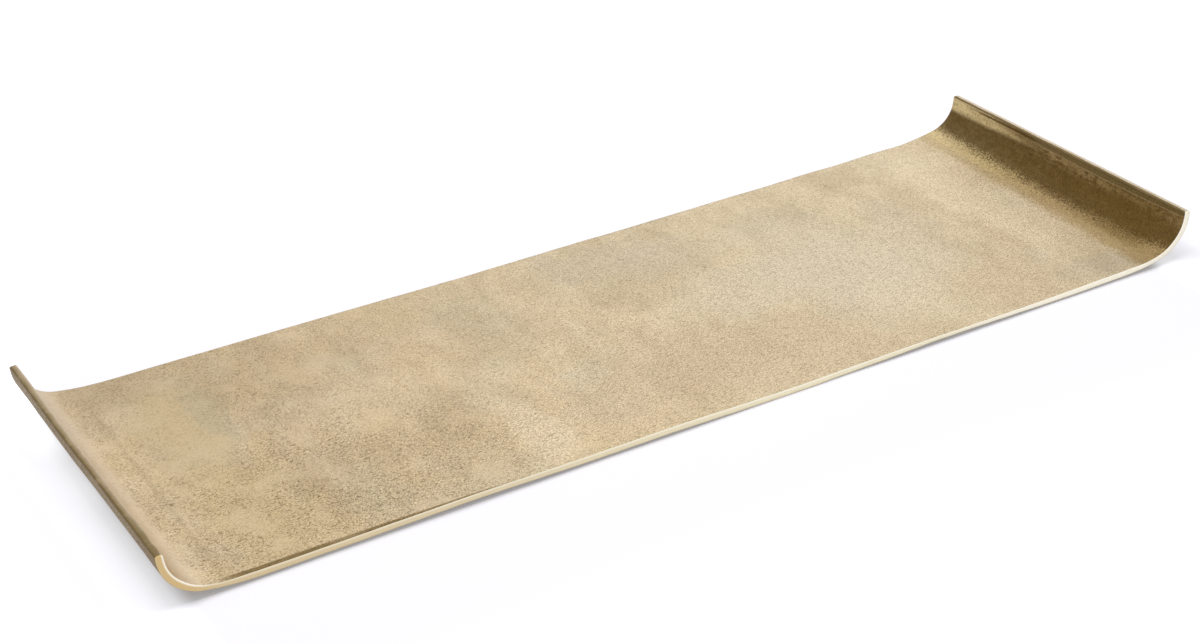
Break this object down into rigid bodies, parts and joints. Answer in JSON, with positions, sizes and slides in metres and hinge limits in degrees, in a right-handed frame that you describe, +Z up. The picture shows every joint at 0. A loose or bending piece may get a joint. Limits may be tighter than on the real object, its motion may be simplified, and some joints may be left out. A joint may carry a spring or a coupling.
{
  "type": "decorative tray",
  "caption": "Long rectangular serving and display tray, cast in one piece with an upswept lip at each short end, on thin felt pads.",
  "frame": {"origin": "on the surface that the tray stands on, under the middle of the tray", "axes": "+X along the tray's length, +Y across it away from the front edge, +Z up"},
  "size_m": [0.76, 0.252, 0.0366],
  "materials": {
    "antique_brass_finish": "sand-cast pebbled grain with a worn antique-brass patina, darker in the grain and rubbed bright on the high spots; linished, brighter edges",
    "felt": "pressed dark felt, matt"
  },
  "bodies": {
    "root": {"tray_body": "antique_brass_finish", "foot_pad_front_left": "felt", "foot_pad_front_right": "felt", "foot_pad_back_left": "felt", "foot_pad_back_right": "felt"}
  },
  "joints": []
}
